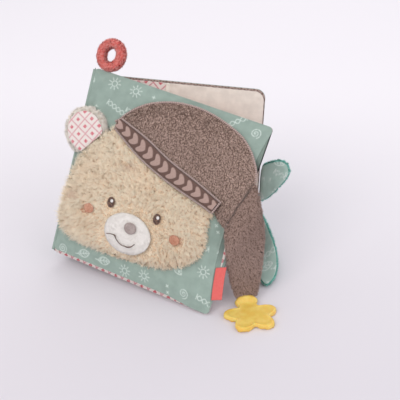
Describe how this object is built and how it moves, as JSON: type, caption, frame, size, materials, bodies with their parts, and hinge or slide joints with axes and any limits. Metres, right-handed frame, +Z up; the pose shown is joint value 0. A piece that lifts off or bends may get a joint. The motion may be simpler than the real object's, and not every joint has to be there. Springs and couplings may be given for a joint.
{
  "type": "crinkle cloth book",
  "caption": "Soft cloth book standing fanned open: padded leaves, a stuffed bear's head in a long cap, a star teether, a hanging loop and fish-tail fins.",
  "frame": {"origin": "on the standing surface, under the middle of the bounding box", "axes": "+X to the right and +Y away as the front cover is looked at, +Z up"},
  "size_m": [0.2074, 0.1692, 0.1885],
  "materials": {
    "band_knit": "knitted with a chevron relief",
    "brown_cotton": "matte woven cotton, printed with a chevron",
    "brown_thread": "satin stitching",
    "coral_ribbon": "smooth woven ribbon",
    "coral_terry": "looped terry",
    "cream_cotton": "matte woven cotton",
    "cream_plush": "long soft pile",
    "crinkle_film": "clear crackling film",
    "diamond_cotton": "matte woven cotton, printed with a diamond lattice",
    "grey_pile": "short dense pile",
    "mint_cotton": "matte woven cotton, printed",
    "rust_cotton": "stitched patch",
    "taupe_cord": "corded stitching",
    "taupe_plush": "short soft pile",
    "teal_plush": "short smooth pile",
    "wadding": "matte fibre filling",
    "white_plush": "short soft pile",
    "white_thread": "satin stitching",
    "yellow_rubber": "satin moulded"
  },
  "bodies": {
    "back_cover": {"back_cover_lining": "brown_cotton", "back_cover_wadding": "wadding", "back_cover_crinkle_film": "crinkle_film", "back_cover_outer": "mint_cotton"},
    "page": {"page_diamond_strip": "diamond_cotton", "page_binding": "cream_cotton", "page_cream_panel": "cream_cotton", "page_wadding": "wadding", "page_crinkle_film": "crinkle_film", "page_back": "brown_cotton", "spine_gusset": "mint_cotton"},
    "front_cover": {"front_cover_outer": "mint_cotton", "front_cover_wadding": "wadding", "front_cover_crinkle_film": "crinkle_film", "front_cover_lining": "diamond_cotton", "head_plush": "cream_plush", "muzzle": "white_plush", "nose": "grey_pile", "mouth_stitch": "brown_thread", "eye_left": "brown_thread", "eye_right": "brown_thread", "eye_glint_left": "white_thread", "eye_glint_right": "white_thread", "cheek_left": "rust_cotton", "cheek_right": "rust_cotton", "cap_crown": "taupe_plush", "cap_band": "band_knit", "band_cord_lower": "taupe_cord", "band_cord_upper": "taupe_cord"},
    "cap_tail": {"cap_tail": "taupe_plush"},
    "star_teether": {"star_teether": "yellow_rubber"},
    "ear": {"ear_plush": "cream_plush", "ear_print": "diamond_cotton"},
    "hanging_loop": {"hanging_loop": "coral_terry"},
    "side_label": {"side_label": "coral_ribbon"},
    "upper_fin": {"upper_fin_front": "mint_cotton", "upper_fin_back": "teal_plush"},
    "lower_fin": {"lower_fin_front": "mint_cotton", "lower_fin_back": "teal_plush"}
  },
  "joints": [
    {"name": "page_turn", "type": "hinge", "parent": "back_cover", "child": "page", "pos_m": [-0.06731, 0.06844, 0.07593], "axis": [-0.0435, -0.1681, -0.9848], "range_deg": [0, 100]},
    {"name": "cover_turn", "type": "hinge", "parent": "page", "child": "front_cover", "pos_m": [-0.08288, 0.03727, 0.0896], "axis": [-0.2546, -0.311, -0.9157], "range_deg": [0, 150]},
    {"name": "tail_swing", "type": "hinge", "parent": "front_cover", "child": "cap_tail", "pos_m": [0.05675, -0.02894, 0.08408], "axis": [-0.5555, -0.3429, -0.7575], "range_deg": [0, 75]},
    {"name": "star_swing", "type": "hinge", "parent": "cap_tail", "child": "star_teether", "pos_m": [0.06508, -0.0503, 0.0046], "axis": [-0.9816, -0.1908, 0], "range_deg": [-8, 60]},
    {"name": "ear_flap", "type": "hinge", "parent": "front_cover", "child": "ear", "pos_m": [-0.06401, 0.03303, 0.11038], "axis": [0.7648, 0.0387, 0.6432], "range_deg": [0, 60]},
    {"name": "loop_bend", "type": "hinge", "parent": "front_cover", "child": "hanging_loop", "pos_m": [-0.05124, 0.0593, 0.16333], "axis": [0.9029, -0.4065, -0.1396], "range_deg": [-40, 40], "stiffness_Nm_per_rad": 0.02},
    {"name": "label_flap", "type": "hinge", "parent": "front_cover", "child": "side_label", "pos_m": [0.03754, -0.05018, 0.02269], "axis": [-0.1465, -0.5288, -0.836], "range_deg": [-60, 60], "stiffness_Nm_per_rad": 0.004},
    {"name": "upper_fin_flap", "type": "hinge", "parent": "back_cover", "child": "upper_fin", "pos_m": [0.07835, 0.03337, 0.07091], "axis": [0.0435, 0.1681, 0.9848], "range_deg": [-60, 60], "stiffness_Nm_per_rad": 0.02},
    {"name": "lower_fin_flap", "type": "hinge", "parent": "back_cover", "child": "lower_fin", "pos_m": [0.07653, 0.02631, 0.02954], "axis": [0.0435, 0.1681, 0.9848], "range_deg": [-8, 25], "stiffness_Nm_per_rad": 0.02}
  ]
}
